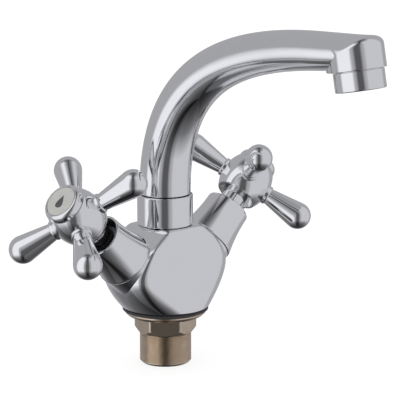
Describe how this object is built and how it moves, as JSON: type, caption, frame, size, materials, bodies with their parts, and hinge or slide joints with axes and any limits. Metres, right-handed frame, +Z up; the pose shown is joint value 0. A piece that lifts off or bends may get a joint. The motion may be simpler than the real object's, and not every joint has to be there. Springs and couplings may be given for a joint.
{
  "type": "bathroom mixer faucet",
  "caption": "Two-handle basin mixer with cross handles on angled arms, a swivelling high spout with an aerator, and a single threaded brass shank.",
  "frame": {"origin": "centre of the foot flange's underside, on the axis of the mounting hole, where the mixer seats on the basin", "axes": "+Z up along the shank and the spout's swivel axis, -Y towards the user and along the spout, -X the hot handle, +X the cold handle"},
  "size_m": [0.1746, 0.179, 0.191],
  "materials": {
    "chrome_cast": "polished chrome plate on cast brass",
    "chrome_turned": "polished chrome plate on turned brass",
    "brass_turned": "bare turned brass, slightly dulled",
    "brass_inner": "bare machined brass",
    "rubber": "black rubber",
    "nylon": "white moulded plastic",
    "steel": "bright stainless steel",
    "ceramic": "lapped alumina ceramic",
    "index_enamel": "off-white index disc"
  },
  "bodies": {
    "fixed": {"body": "chrome_cast", "shank": "brass_turned", "foot_seal": "rubber", "collar": "chrome_turned", "glide_washer": "nylon", "hot_bell": "chrome_turned", "hot_headwork": "chrome_turned", "hot_headwork_ring": "rubber", "hot_seat_seal": "rubber", "hot_fixed_disc": "ceramic", "cold_bell": "chrome_turned", "cold_headwork": "chrome_turned", "cold_headwork_ring": "rubber", "cold_seat_seal": "rubber", "cold_fixed_disc": "ceramic"},
    "spout": {"spout": "chrome_cast", "swivel_nipple": "brass_inner", "retaining_ring": "brass_inner", "lower_swivel_ring": "rubber", "upper_swivel_ring": "rubber", "aerator_housing": "chrome_turned", "aerator_screen": "steel", "aerator_insert": "nylon", "aerator_washer": "rubber"},
    "hot_handle": {"hot_moving_disc": "ceramic", "hot_spindle": "brass_inner", "hot_spindle_ring": "rubber", "hot_hub": "chrome_turned", "hot_lever_1": "chrome_turned", "hot_lever_2": "chrome_turned", "hot_lever_3": "chrome_turned", "hot_lever_4": "chrome_turned", "hot_cap": "chrome_turned", "hot_index": "index_enamel", "hot_handle_screw": "steel"},
    "cold_handle": {"cold_moving_disc": "ceramic", "cold_spindle": "brass_inner", "cold_spindle_ring": "rubber", "cold_hub": "chrome_turned", "cold_lever_1": "chrome_turned", "cold_lever_2": "chrome_turned", "cold_lever_3": "chrome_turned", "cold_lever_4": "chrome_turned", "cold_cap": "chrome_turned", "cold_index": "index_enamel", "cold_handle_screw": "steel"}
  },
  "joints": [
    {"name": "spout_swivel", "type": "hinge", "parent": "fixed", "child": "spout", "pos_m": [0, 0, 0.0667], "axis": [0, 0, 1], "continuous": true},
    {"name": "hot_turn", "type": "hinge", "parent": "fixed", "child": "hot_handle", "pos_m": [-0.06372, 0, 0.0638], "axis": [-0.7559, 0, 0.6547], "range_deg": [0, 90]},
    {"name": "cold_turn", "type": "hinge", "parent": "fixed", "child": "cold_handle", "pos_m": [0.06372, 0, 0.0638], "axis": [0.7559, 0, 0.6547], "range_deg": [-90, 0]}
  ]
}
